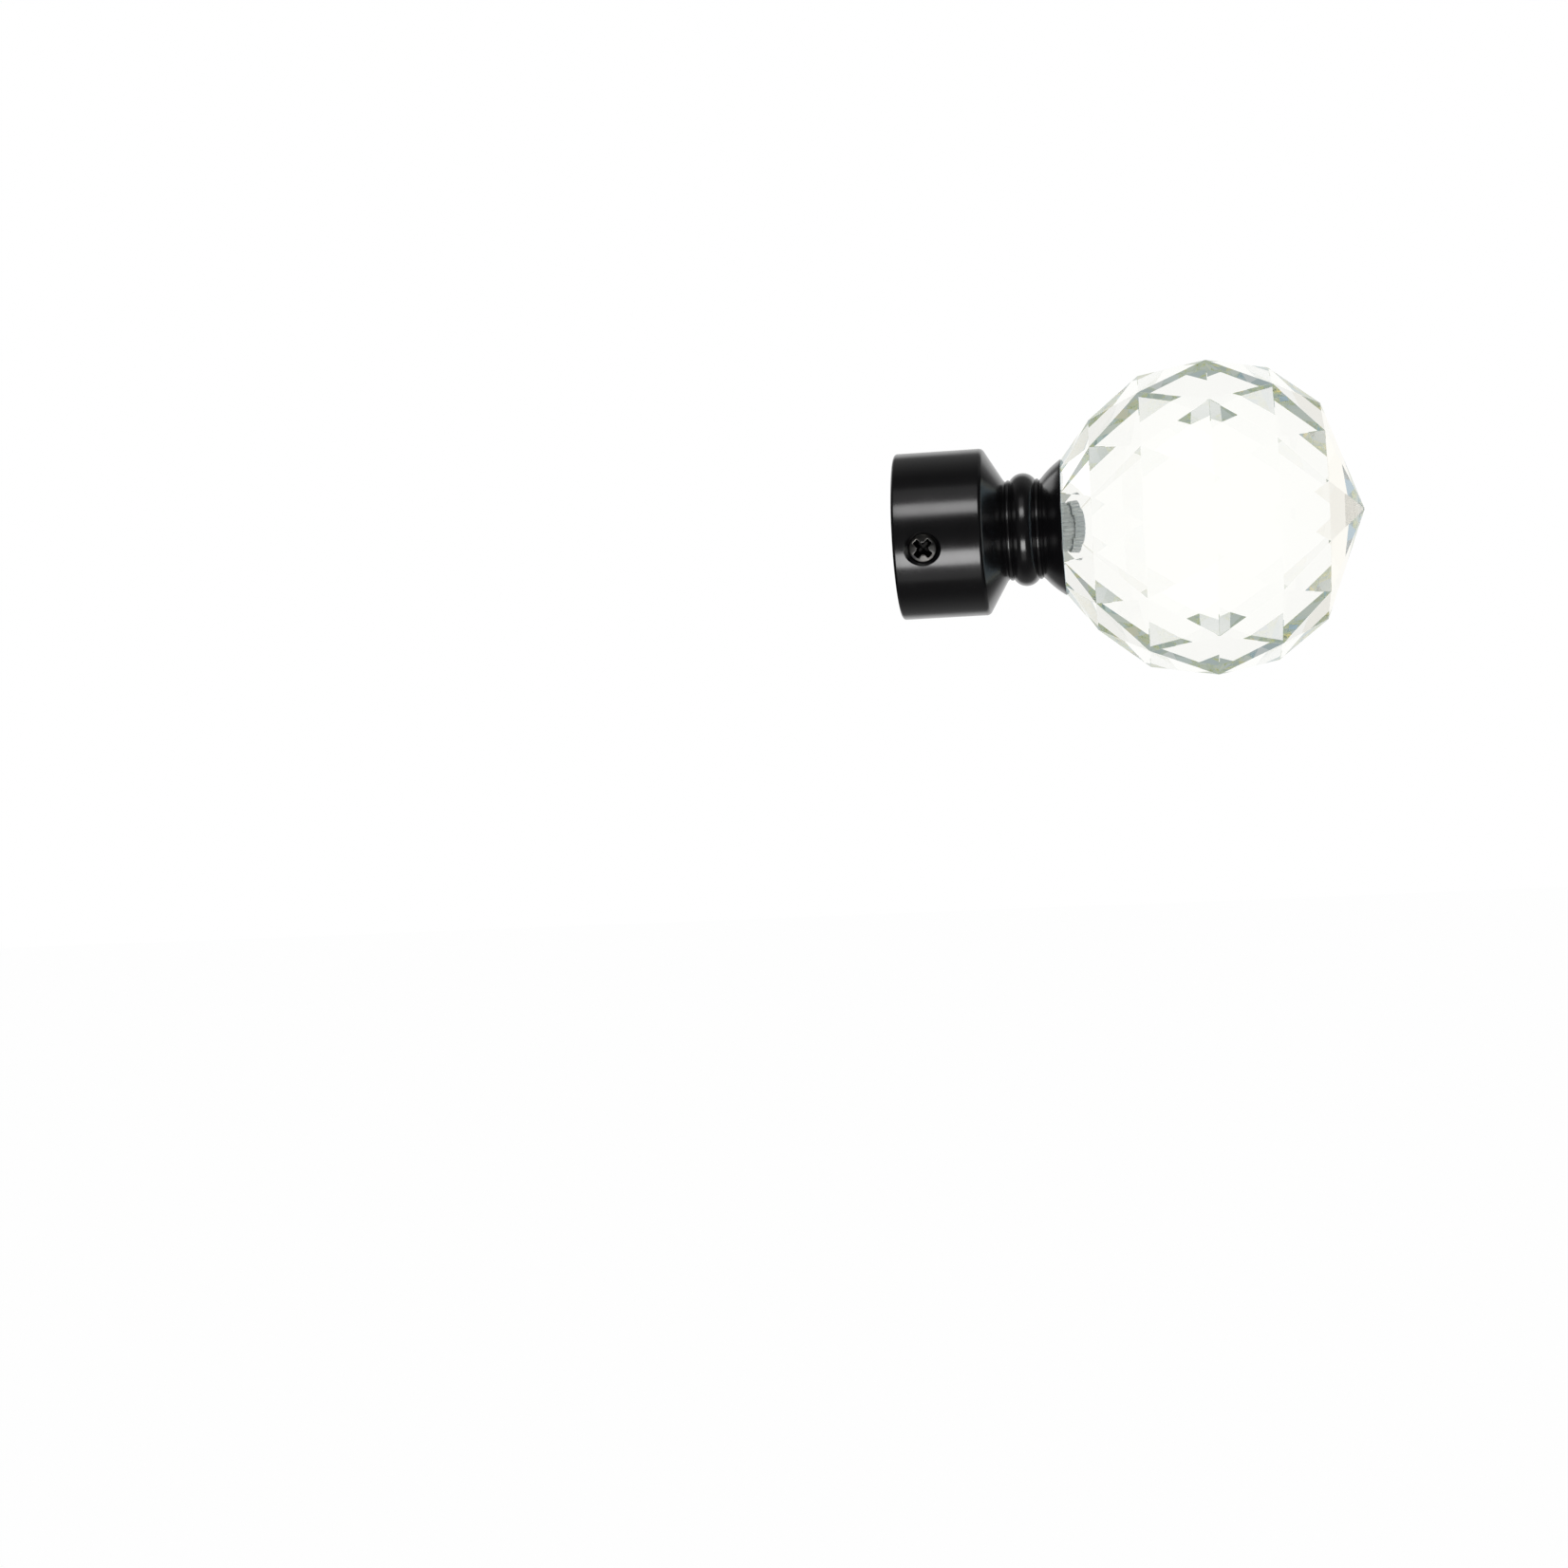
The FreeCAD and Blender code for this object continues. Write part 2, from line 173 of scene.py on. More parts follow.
def add_ring(name: str, station: Station, segments: int) -> bpy.types.Object:
    """Add an open ring of vertices round the X axis.

    Args:
        name: The new piece's name.
        station: The ring's place along X and its radius.
        segments: How many vertices it has.

    Returns:
        The new piece, active and in object mode.
    """
    deselect_all()
    bpy.ops.mesh.primitive_circle_add(
        vertices=segments,
        radius=station[1] * MM,
        location=(station[0] * MM, 0.0, 0.0),
        rotation=(0.0, math.pi / 2, 0.0),
        fill_type="NOTHING",
    )
    ring = bpy.context.object
    ring.name = ring.data.name = name
    bpy.ops.object.transform_apply(location=True, rotation=True, scale=True)
    # A ring has no faces, so it can't be selected in face mode.
    bpy.context.tool_settings.mesh_select_mode = (True, False, False)
    return ring


def draw_out(stations: Sequence[Station]) -> None:
    """Extrude the selected ring from station to station along the X axis.

    Args:
        stations: The ring's present station and then each one to come.
    """
    for (x_from, r_from), (x_to, r_to) in zip(stations, stations[1:]):
        move = {"value": ((x_to - x_from) * MM, 0.0, 0.0)}
        bpy.ops.mesh.extrude_region_move(TRANSFORM_OT_translate=move)
        ratio = r_to / r_from
        if ratio != 1.0:
            bpy.ops.transform.resize(value=(1.0, ratio, ratio), center_override=(x_to * MM, 0, 0))


def draw_to_point(x_from: float, x_to: float) -> None:
    """Extrude the selected ring along the X axis and merge it into one point.

    Args:
        x_from: The ring's present place.
        x_to: The point's place.
    """
    move = {"value": ((x_to - x_from) * MM, 0.0, 0.0)}
    bpy.ops.mesh.extrude_region_move(TRANSFORM_OT_translate=move)
    bpy.ops.mesh.merge(type="CENTER")


def fill_ring(piece: bpy.types.Object, station: Station) -> None:
    """Close a piece with a flat face across one open ring.

    Args:
        piece: The piece, in edit mode.
        station: The ring's place along X and its radius.
    """
    # The middle of an edge lies a little inside the ring, most where the ring
    # has few sides.
    inside = 0.06 * station[1]
    pick(
        piece,
        Pick.EDGES,
        lambda middle, _: abs(middle.x - station[0]) < SLACK
        and abs(radius_of(middle) - station[1]) < inside,
    )
    bpy.ops.mesh.edge_face_add()


def bevel(width: float, steps: int, material: int = -1) -> None:
    """Bevel the selected edges.

    Args:
        width: The bevel's width.
        steps: How many strips round it off.
        material: The slot of the new faces' finish, or -1 for their neighbours' one.
    """
    bpy.ops.mesh.bevel(
        offset=width * MM,
        offset_type="OFFSET",
        segments=steps,
        profile=0.5,
        affect="EDGES",
        material=material,
    )


def soften(piece: bpy.types.Object, station: Station, width: float, steps: int) -> None:
    """Bevel the ring edge at a station of a turned piece in edit mode.

    Args:
        piece: The piece, in edit mode.
        station: The edge's place along X and its radius.
        width: The bevel's width.
        steps: How many strips round it off.
    """
    found = pick(
        piece,
        Pick.EDGES,
        lambda middle, along: abs(middle.x - station[0]) < SLACK
        and abs(radius_of(middle) - station[1]) < SLACK
        and abs(along.x) < 0.1,
    )
    if not found:
        raise RuntimeError(f"{piece.name} has no edge at {station}")
    bevel(width, steps)


def close_up(piece: bpy.types.Object) -> None:
    """Merge doubled vertices and turn every face of a closed piece outwards.

    Args:
        piece: The piece, in edit mode.
    """
    bpy.ops.mesh.select_all(action="SELECT")
    bpy.ops.mesh.remove_doubles(threshold=1e-7)
    bpy.ops.mesh.normals_make_consistent(inside=False)
    piece.data.update()


def turned_solid(name: str, stations: Sequence[Station], segments: int) -> bpy.types.Object:
    """Turn a closed solid round the X axis, with a flat face at both ends.

    Args:
        name: The new piece's name.
        stations: Its profile from end to end.
        segments: How many sides it has.

    Returns:
        The solid, lying along X.
    """
    solid = add_ring(name, stations[0], segments)
    with edit_mode(solid):
        bpy.ops.mesh.select_all(action="SELECT")
        draw_out(stations)
        fill_ring(solid, stations[0])
        fill_ring(solid, stations[-1])
        close_up(solid)
    return solid


def carve(piece: bpy.types.Object, cutter: bpy.types.Object) -> None:
    """Take a cutter's shape out of a piece, and remove the cutter.

    Args:
        piece: The piece that is cut. It has its finishes already, because the
            new faces take the first of them.
        cutter: A closed solid.
    """
    cutter.data.materials.append(piece.data.materials[0])
    activate(piece)
    bpy.ops.object.modifier_add(type="BOOLEAN")
    cut = piece.modifiers[-1]
    cut.operation = "DIFFERENCE"
    # This solver gives the same faces in each run.
    cut.solver = "MANIFOLD"
    cut.object = cutter
    bpy.ops.object.modifier_apply(modifier=cut.name)
    bpy.data.objects.remove(cutter)


def join(piece: bpy.types.Object, other: bpy.types.Object) -> None:
    """Make another mesh part of a piece.

    Args:
        piece: The piece that stays.
        other: The mesh that goes into it.
    """
    activate(piece)
    other.select_set(True)
    bpy.ops.object.join()


def settle(piece: bpy.types.Object, place: Matrix) -> None:
    """Move a piece, with its new place kept in its mesh.

    Args:
        piece: The piece to move.
        place: Where it goes from its present place.
    """
    activate(piece)
    piece.matrix_world = place @ piece.matrix_world
    bpy.ops.object.transform_apply(location=True, rotation=True, scale=True)


def shade(piece: bpy.types.Object, degrees: float) -> None:
    """Shade a piece smooth, with edges sharper than an angle left crisp.

    Args:
        piece: The piece to shade.
        degrees: The angle.
    """
    activate(piece)
    bpy.ops.object.shade_smooth_by_angle(angle=math.radians(degrees))


@dataclass(frozen=True)
class Arc:
    """A round of the turned profile: its centre along X, out from the axis, and its radius."""

    x: float
    out: float
    radius: float

    def stations(self, x_from: float, x_to: float, steps: int) -> list[Station]:
        """Divide a stretch of the arc's outer side evenly.

        Args:
            x_from: Where the stretch starts.
            x_to: Where it ends.
            steps: How many parts it is divided into.

        Returns:
            The stations, with both ends among them.
        """
        first = math.acos((x_from - self.x) / self.radius)
        last = math.acos((x_to - self.x) / self.radius)
        angles = [first + (last - first) * n / steps for n in range(steps + 1)]
        return [
            (self.x + self.radius * math.cos(a), self.out + self.radius * math.sin(a))
            for a in angles
        ]

    def meets(self, other: "Arc") -> float:
        """Find where this arc and another cross on their outer sides.

        Args:
            other: The other arc.

        Returns:
            The crossing's place along X.
        """
        dx, dr = other.x - self.x, other.out - self.out
        apart = math.hypot(dx, dr)
        along = (self.radius**2 - other.radius**2 + apart**2) / (2 * apart)
        aside = math.sqrt(self.radius**2 - along**2)
        crossings = [
            (
                self.x + (dx * along - side * dr * aside) / apart,
                self.out + (dr * along + side * dx * aside) / apart,
            )
            for side in (-1, 1)
        ]
        return max(crossings, key=lambda point: point[1])[0]


def arc_between(start: Station, end: Station, radius: float) -> Arc:
    """Find the arc that bulges out between two stations.

    Args:
        start: The arc's first station.
        end: Its last station, further along X.
        radius: Its radius.

    Returns:
        The arc.
    """
    dx, dr = end[0] - start[0], end[1] - start[1]
    chord = math.hypot(dx, dr)
    drop = math.sqrt(radius**2 - chord**2 / 4)
    middle = ((start[0] + end[0]) / 2, (start[1] + end[1]) / 2)
    return Arc(middle[0] + dr / chord * drop, middle[1] - dx / chord * drop, radius)


# Node trees


def new_material(name: str) -> tuple[bpy.types.Material, bpy.types.NodeTree]:
    """Make an empty node material.

    Args:
        name: The material's name.

    Returns:
        The material and its tree.
    """
    material = bpy.data.materials.new(name)
    material.use_nodes = True
    material.node_tree.nodes.clear()
    return material, material.node_tree


def add_node(tree: bpy.types.NodeTree, kind: str, **settings: object) -> bpy.types.Node:
    """Add a node and set its properties, or its inputs where a name is an input's.

    Args:
        tree: The tree that takes the node.
        kind: The node's type.
        **settings: Properties by name; an input's name has _ for each space.

    Returns:
        The new node.
    """
    node = tree.nodes.new(kind)
    for name, value in settings.items():
        label = name.replace("_", " ")
        if label in node.inputs:
            node.inputs[label].default_value = value
        else:
            setattr(node, name, value)
    return node


def link(
    tree: bpy.types.NodeTree, source: bpy.types.NodeSocket, target: bpy.types.NodeSocket
) -> None:
    """Feed one socket from another."""
    tree.links.new(source, target)


def set_stops(ramp: bpy.types.Node, stops: Sequence[Glow]) -> None:
    """Give a colour ramp its stops.

    Args:
        ramp: The colour ramp node, which has two stops to start with.
        stops: A place from 0 to 1 and a colour for each stop, in order.
    """
    elements = ramp.color_ramp.elements
    for element, (place, colour) in zip(elements, (stops[0], stops[-1])):
        element.position = place
        element.color = (*colour, 1.0)
    for place, colour in stops[1:-1]:
        elements.new(place).color = (*colour, 1.0)


def add_math(
    tree: bpy.types.NodeTree, operation: str, first: bpy.types.NodeSocket, second: Feed
) -> bpy.types.NodeSocket:
    """Add a node that works out one number from two.

    Args:
        tree: The tree that takes the node.
        operation: What the node does with the numbers.
        first: The first number's socket.
        second: The second number, or its socket.

    Returns:
        The result's socket.
    """
    node = add_node(tree, "ShaderNodeMath", operation=operation)
    link(tree, first, node.inputs[0])
    if isinstance(second, float):
        node.inputs[1].default_value = second
    else:
        link(tree, second, node.inputs[1])
    return node.outputs[0]


def mix_colours(
    tree: bpy.types.NodeTree,
    share: bpy.types.NodeSocket,
    first: bpy.types.NodeSocket,
    second: bpy.types.NodeSocket,
) -> bpy.types.NodeSocket:
    """Add a node that goes from one colour to another.

    Args:
        tree: The tree that takes the node.
        share: How much of the second colour there is, from 0 to 1.
        first: The first colour.
        second: The second colour.

    Returns:
        The mixed colour's socket.
    """
    mix = add_node(tree, "ShaderNodeMix", data_type="RGBA")
    link(tree, share, mix.inputs["Factor"])
    # The node also has sockets for numbers and vectors. These are its colours.
    link(tree, first, mix.inputs[6])
    link(tree, second, mix.inputs[7])
    return mix.outputs[2]


def mix_shaders(
    tree: bpy.types.NodeTree,
    share: bpy.types.NodeSocket,
    first: bpy.types.NodeSocket,
    second: bpy.types.NodeSocket,
) -> bpy.types.NodeSocket:
    """Add a node that goes from one shader to another.

    Args:
        tree: The tree that takes the node.
        share: How much of the second shader there is, from 0 to 1.
        first: The first shader.
        second: The second shader.

    Returns:
        The mixed shader's socket.
    """
    mix = add_node(tree, "ShaderNodeMixShader")
    for source, target in zip((share, first, second), mix.inputs):
        link(tree, source, target)
    return mix.outputs[0]


# Finishes


@dataclass(frozen=True)
class GlossLacquer:
    """Black lacquer, sprayed on turned metal: gloss with a faint orange peel."""

    colour: Colour = (0.0045, 0.0043, 0.005)
    ior: float = 1.6
    roughness: Span = (0.17, 0.23)
    peel_per_m: float = 900.0
    peel_height: float = 0.35e-6
    haze_per_m: float = 150.0
    haze_span: Span = (0.3, 0.7)

    def make(self) -> bpy.types.Material:
        """Make the lacquer, with haze in its roughness and the peel as bump.

        Returns:
            The material.
        """
        material, tree = new_material("gloss_lacquer")
        out = add_node(tree, "ShaderNodeOutputMaterial")
        shader = add_node(tree, "ShaderNodeBsdfPrincipled", IOR=self.ior)
        shader.inputs["Base Color"].default_value = (*self.colour, 1.0)
        place = add_node(tree, "ShaderNodeTexCoord")
        peel = add_node(tree, "ShaderNodeTexNoise", Scale=self.peel_per_m, Detail=2.0)
        haze = add_node(tree, "ShaderNodeTexNoise", Scale=self.haze_per_m, Detail=4.0)
        spread = add_node(tree, "ShaderNodeMapRange")
        spread.inputs["From Min"].default_value = self.haze_span[0]
        spread.inputs["From Max"].default_value = self.haze_span[1]
        spread.inputs["To Min"].default_value = self.roughness[0]
        spread.inputs["To Max"].default_value = self.roughness[1]
        bump = add_node(tree, "ShaderNodeBump", Strength=1.0, Distance=self.peel_height)
        link(tree, place.outputs["Object"], peel.inputs["Vector"])
        link(tree, place.outputs["Object"], haze.inputs["Vector"])
        link(tree, haze.outputs["Fac"], spread.inputs["Value"])
        link(tree, spread.outputs["Result"], shader.inputs["Roughness"])
        link(tree, peel.outputs["Fac"], bump.inputs["Height"])
        link(tree, bump.outputs["Normal"], shader.inputs["Normal"])
        link(tree, shader.outputs["BSDF"], out.inputs["Surface"])
        return material


@dataclass(frozen=True)
class TurnedMetal:
    """Metal with the fine rings that the tool leaves round X, and faint stains."""

    name: str
    colour: Colour
    roughness: Span
    rings_per_m: float
    ring_height: float
    stain: Colour
    stains_per_m: float = 420.0
    stain_edges: Span = (0.38, 0.62)
    metallic: float = 1.0

    def make(self) -> bpy.types.Material:
        """Make the metal, rougher where it is stained and with the rings as bump.

        Returns:
            The material.
        """
        material, tree = new_material(self.name)
        out = add_node(tree, "ShaderNodeOutputMaterial")
        shader = add_node(tree, "ShaderNodeBsdfPrincipled", Metallic=self.metallic)
        place = add_node(tree, "ShaderNodeTexCoord")
        split = add_node(tree, "ShaderNodeSeparateXYZ")
        blotch = add_node(tree, "ShaderNodeTexNoise", Scale=self.stains_per_m, Detail=5.0)
        blotch.inputs["Roughness"].default_value = 0.6
        ramp = add_node(tree, "ShaderNodeValToRGB")
        set_stops(ramp, list(zip(self.stain_edges, (self.stain, self.colour))))
        spread = add_node(tree, "ShaderNodeMapRange")
        spread.inputs["To Min"].default_value = self.roughness[1]
        spread.inputs["To Max"].default_value = self.roughness[0]
        rings = add_node(tree, "ShaderNodeTexNoise", noise_dimensions="1D", Detail=2.0)
        rings.inputs["Scale"].default_value = self.rings_per_m
        bump = add_node(tree, "ShaderNodeBump", Strength=1.0, Distance=self.ring_height)
        link(tree, place.outputs["Object"], split.inputs[0])
        link(tree, place.outputs["Object"], blotch.inputs["Vector"])
        link(tree, blotch.outputs["Fac"], ramp.inputs["Fac"])
        link(tree, ramp.outputs["Color"], shader.inputs["Base Color"])
        link(tree, blotch.outputs["Fac"], spread.inputs["Value"])
        link(tree, spread.outputs["Result"], shader.inputs["Roughness"])
        link(tree, split.outputs["X"], rings.inputs["W"])
        link(tree, rings.outputs["Fac"], bump.inputs["Height"])
        link(tree, bump.outputs["Normal"], shader.inputs["Normal"])
        link(tree, shader.outputs["BSDF"], out.inputs["Surface"])
        return material


@dataclass(frozen=True)
class CutCrystal:
    """Clear polished glass with a faint warm tint."""

    tint: Colour = (1.0, 1.0, 0.985)
    ior: float = 1.544

    def make(self) -> bpy.types.Material:
        """Make the glass.

        Returns:
            The material.
        """
        material, tree = new_material("cut_crystal")
        out = add_node(tree, "ShaderNodeOutputMaterial")
        glass = add_node(tree, "ShaderNodeBsdfGlass", Roughness=0.0, IOR=self.ior)
        glass.inputs["Color"].default_value = (*self.tint, 1.0)
        link(tree, glass.outputs["BSDF"], out.inputs["Surface"])
        return material


Finish = GlossLacquer | TurnedMetal | CutCrystal


def coat(piece: bpy.types.Object, *finishes: Finish) -> None:
    """Give a piece its finishes, the first of them all over."""
    for finish in finishes:
        piece.data.materials.append(finish.make())


def slot_of(piece: bpy.types.Object, metal: TurnedMetal) -> int:
    """Return the place of a metal among a piece's finishes."""
    return piece.data.materials.find(metal.name)


def paint(piece: bpy.types.Object, metal: TurnedMetal, test: Test) -> None:
    """Show one of a piece's metals on the faces that pass a test.

    Args:
        piece: The piece, in object mode and coated with the metal.
        metal: The metal.
        test: Says yes or no from a face's middle, in mm, and its normal.
    """
    with edit_mode(piece):
        pick(piece, Pick.FACES, test)
        piece.active_material_index = slot_of(piece, metal)
        bpy.ops.object.material_slot_assign()


BORE_METAL = TurnedMetal(
    name="bore_metal",
    colour=(0.62, 0.61, 0.6),
    roughness=(0.3, 0.5),
    rings_per_m=5200.0,
    ring_height=6e-6,
    stain=(0.42, 0.41, 0.4),
)
SEAT_METAL = TurnedMetal(
    name="seat_metal",
    colour=(0.9, 0.91, 0.9),
    roughness=(0.3, 0.5),
    rings_per_m=3000.0,
    ring_height=3e-6,
    stain=(0.76, 0.77, 0.77),
)
SCREW_METAL = TurnedMetal(
    name="screw_steel",
    colour=(0.075, 0.072, 0.068),
    roughness=(0.22, 0.4),
    rings_per_m=2600.0,
    ring_height=1e-6,
    stain=(0.03, 0.03, 0.03),
)
WORN_METAL = TurnedMetal(
    name="worn_edge",
    colour=(0.3, 0.29, 0.27),
    roughness=(0.3, 0.5),
    rings_per_m=2600.0,
    ring_height=1e-6,
    stain=(0.08, 0.08, 0.08),
)
# Steel darker than the screw's, for the faces in the cross recess: painted shade where the recess
# lies in shadow.
RECESS_SHADE_METAL = TurnedMetal(
    name="recess_painted_shade",
    colour=(0.024, 0.023, 0.022),
    roughness=(0.4, 0.6),
    rings_per_m=2600.0,
    ring_height=1e-6,
    stain=(0.01, 0.01, 0.01),
)
# The insert as it looks where glue joins it to the glass: pale and hardly metallic.
BEDDED_METAL = TurnedMetal(
    name="bedded_insert",
    colour=(0.98, 0.98, 0.98),
    roughness=(0.15, 0.35),
    rings_per_m=3800.0,
    ring_height=3e-6,
    stain=(0.86, 0.87, 0.87),
    metallic=0.3,
)
STUD_METAL = TurnedMetal(
    name="stud_aluminium",
    colour=(0.72, 0.73, 0.73),
    roughness=(0.25, 0.45),
    rings_per_m=3800.0,
    ring_height=3e-6,
    stain=(0.34, 0.35, 0.35),
)


# Threads


@dataclass(frozen=True)
class Thread:
    """A screw thread's rib round its own Z axis.

    foot and tip are the radii at which the rib starts and ends. A tip smaller
    than the foot makes the thread of a tapped hole. breadth is the rib's width
    at its foot as a share of the pitch.
    """

    foot: float
    tip: float
    pitch: float
    start: float
    end: float
    breadth: float = 0.98
    steps: int = 40

    def make(self, name: str) -> bpy.types.Object:
        """Sweep a triangle round the axis, and draw its ends to a point.

        Args:
            name: The rib's name.

        Returns:
            The rib, a closed mesh.
        """
        # A triangle whose corners are 1 from its middle is 1.5 tall and the
        # square root of 3 wide, and its foot is 0.5 below its middle. These
        # scale it to the rib's own size.
        tall = (self.tip - self.foot) / 1.5
        wide = self.pitch * self.breadth / math.sqrt(3)
        deselect_all()
        bpy.ops.mesh.primitive_circle_add(
            vertices=3,
            radius=1.0,
            location=((self.foot + tall / 2) * MM, 0.0, self.start * MM),
            rotation=(math.pi / 2, 0.0, 0.0),
            fill_type="NOTHING",
        )
        rib = bpy.context.object
        rib.name = rib.data.name = name
        # Its top is turned to +X before it gets its height and width.
        bpy.ops.object.transform_apply(location=False, rotation=True, scale=False)
        rib.rotation_euler = (0.0, math.pi / 2, 0.0)
        bpy.ops.object.transform_apply(location=False, rotation=True, scale=False)
        rib.scale = (tall * MM, 1.0, wide * MM)
        bpy.ops.object.transform_apply(location=True, rotation=False, scale=True)
        bpy.ops.object.modifier_add(type="SCREW")
        sweep = rib.modifiers[-1]
        sweep.axis = "Z"
        sweep.angle = 2 * math.pi
        sweep.screw_offset = self.pitch * MM
        sweep.iterations = round((self.end - self.start) / self.pitch)
        sweep.steps = sweep.render_steps = self.steps
        bpy.ops.object.modifier_apply(modifier=sweep.name)
        with edit_mode(rib):
            for _ in range(2):
                self.point_end(rib)
            close_up(rib)
        return rib

    def point_end(self, rib: bpy.types.Object) -> None:
        """Draw one open end of the rib to a point, so that the thread runs out.

        Args:
            rib: The rib, in edit mode.
        """
        bpy.ops.mesh.select_mode(type="EDGE")
        bpy.ops.mesh.select_all(action="DESELECT")
        mesh = bmesh.from_edit_mesh(rib.data)
        first = next((e for e in mesh.edges if len(e.link_faces) == 1), None)
        if first is None:
            raise RuntimeError(f"{rib.name} has no open end")
        # From one edge of the open triangle to its neighbours, and on.
        ends = {first}
        for _ in range(2):
            corners = {v for e in ends for v in e.verts}
            ends |= {e for v in corners for e in v.link_edges if len(e.link_faces) == 1}
        for edge in ends:
            edge.select_set(True)
        bmesh.update_edit_mesh(rib.data)
        bpy.ops.mesh.merge(type="CENTER")


# Sub-assemblies


@dataclass(frozen=True)
class Collar:
    """The turned metal base: socket, shoulder, ridge, bead, ridge and cup."""

    segments: int = 160
    radius: float = 12.9
    length: float = 13.55
    edge_round: float = 0.45
    # Rings round the wall keep the faces short beside the side hole.
    wall_rings: tuple[float, ...] = (2.6, 4.55, 6.5, 9.5)
    socket: Station = (13.0, 8.3)
    mouth_chamfer: float = 0.35
    mouth_round: float = 0.08
    lacquer_reach: float = 0.6
    shoulder_end: float = 16.6
    root: float = 7.5
    ridge_height: float = 0.3
    ridge_pitch: float = 0.7
    ridge_round: float = 0.36
    crest_round: float = 0.09
    bead: Arc = Arc(x=19.55, out=6.425, radius=2.3)
    cup_start: float = 22.45
    cup_round: float = 14.0
    rim: float = 10.45
    rim_land: float = 0.15
    rim_round: float = 0.05
    stud_hole: Station = (17.6, 2.58)
    stud_hole_apex: float = 16.1
    hole_at: float = 4.55
    hole_turn: float = 9.0
    hole_radius: float = 2.62
    hole_mouth: float = 2.85
    hole_inner_end: float = 5.0
    thread: Thread = Thread(foot=2.7, tip=2.28, pitch=0.8, start=8.4, end=12.4)

    def crest(self) -> float:
        """Return the radius of the sharp crests at the shoulder's and the cup's foot."""
        return self.root + self.ridge_height

    def neck(self) -> list[Station]:
        """Lay out the neck, from the shoulder's foot to the cup's foot.

        Returns:
            The stations of both crests, the ridges and the bead.
        """
        half = self.ridge_pitch / 2
        first = arc_between(
            (self.shoulder_end + half, self.root),
            (self.shoulder_end + 3 * half, self.root),
            self.ridge_round,
        )
        second = arc_between(
            (self.cup_start - 3 * half, self.root),
            (self.cup_start - half, self.root),
            self.ridge_round,
        )
        valley, dip = first.meets(self.bead), second.meets(self.bead)
        return [
            (self.shoulder_end, self.crest()),
            *first.stations(self.shoulder_end + half, valley, steps=8),
            *self.bead.stations(valley, dip, steps=28)[1:],
            *second.stations(dip, self.cup_start - half, steps=8)[1:],
            (self.cup_start, self.crest()),
        ]

    def profile(self) -> list[Station]:
        """Lay out the whole collar, from the socket's floor round to the stud hole.

        Returns:
            The stations in order.
        """
        face = SEAT_AT - SEAT_GAP
        wall = self.socket[1]
        foot = (self.cup_start, self.crest())
        rim_back = (SEAT_AT - self.rim_land, self.rim)
        cup = arc_between(foot, rim_back, self.cup_round)
        return [
            self.socket,
            (self.mouth_chamfer, wall),
            (0.0, wall + self.mouth_chamfer),
            (0.0, self.radius),
            *((x, self.radius) for x in self.wall_rings),
            (self.length, self.radius),
            *self.neck(),
            *cup.stations(foot[0], rim_back[0], steps=14)[1:],
            (face, self.rim),
            (face, self.stud_hole[1]),
            self.stud_hole,
        ]

    def turn(self) -> bpy.types.Object:
        """Turn the collar's solid, and round off its edges.

        Returns:
            The collar without its side hole.
        """
        stations = self.profile()
        collar = add_ring("finial_collar", stations[0], self.segments)
        with edit_mode(collar):
            bpy.ops.mesh.select_all(action="SELECT")
            draw_out(stations)
            draw_to_point(self.stud_hole[0], self.stud_hole_apex)
            fill_ring(collar, self.socket)
            close_up(collar)
            for x in (0.0, self.length):
                soften(collar, (x, self.radius), self.edge_round, steps=5)
            for x in (self.shoulder_end, self.cup_start):
                soften(collar, (x, self.crest()), self.crest_round, steps=3)
            soften(collar, (0.0, self.socket[1] + self.mouth_chamfer), self.mouth_round, steps=2)
            for x in (SEAT_AT - self.rim_land, SEAT_AT - SEAT_GAP):
                soften(collar, (x, self.rim), self.rim_round, steps=2)
        return collar

    def hole_place(self) -> Matrix:
        """Return the place of the side hole: its own Z axis points out of the collar."""
        turn = Matrix.Rotation(math.radians(90 + self.hole_turn), 4, "X")
        return Matrix.Translation((self.hole_at * MM, 0.0, 0.0)) @ turn

    def side_hole(self) -> bpy.types.Object:
        """Make the cutter for the tapped side hole and its countersunk mouth.

        Returns:
            The cutter, in its place.
        """
        # The mouth is cut where the round of the collar is, so it is a little
        # wider at the hole's sides than at its top and bottom.
        sink = self.radius - (self.hole_mouth - self.hole_radius)
        cutter = turned_solid(
            "side_hole_cutter",
            [
                (self.hole_inner_end, self.hole_radius),
                (sink, self.hole_radius),
                (self.radius, self.hole_mouth),
                (self.radius + OVERCUT, self.hole_mouth + OVERCUT),
            ],
            segments=96,
        )
        settle(cutter, self.hole_place() @ X_TO_Z)
        return cutter

    def dress(self, collar: bpy.types.Object) -> None:
        """Show bare metal in the socket and on the ball's seat.

        Args:
            collar: The collar with its side hole and its finishes.
        """
        floor, wall = (size + SLACK for size in self.socket)
        paint(
            collar,
            BORE_METAL,
            lambda middle, _: self.lacquer_reach < middle.x < floor and radius_of(middle) < wall,
        )
        seat = SEAT_AT - SEAT_GAP - SLACK
        paint(collar, SEAT_METAL, lambda middle, normal: middle.x > seat and normal.x > 0.99)

    def build(self) -> bpy.types.Object:
        """Make the finished collar.

        Returns:
            The collar, in its place.
        """
        collar = self.turn()
        coat(collar, GlossLacquer(), BORE_METAL, SEAT_METAL)
        carve(collar, self.side_hole())
        rib = self.thread.make("side_hole_thread")
        rib.data.materials.append(collar.data.materials[0])
        settle(rib, self.hole_place())
        join(collar, rib)
        shade(collar, degrees=32.0)
        self.dress(collar)
        return collar


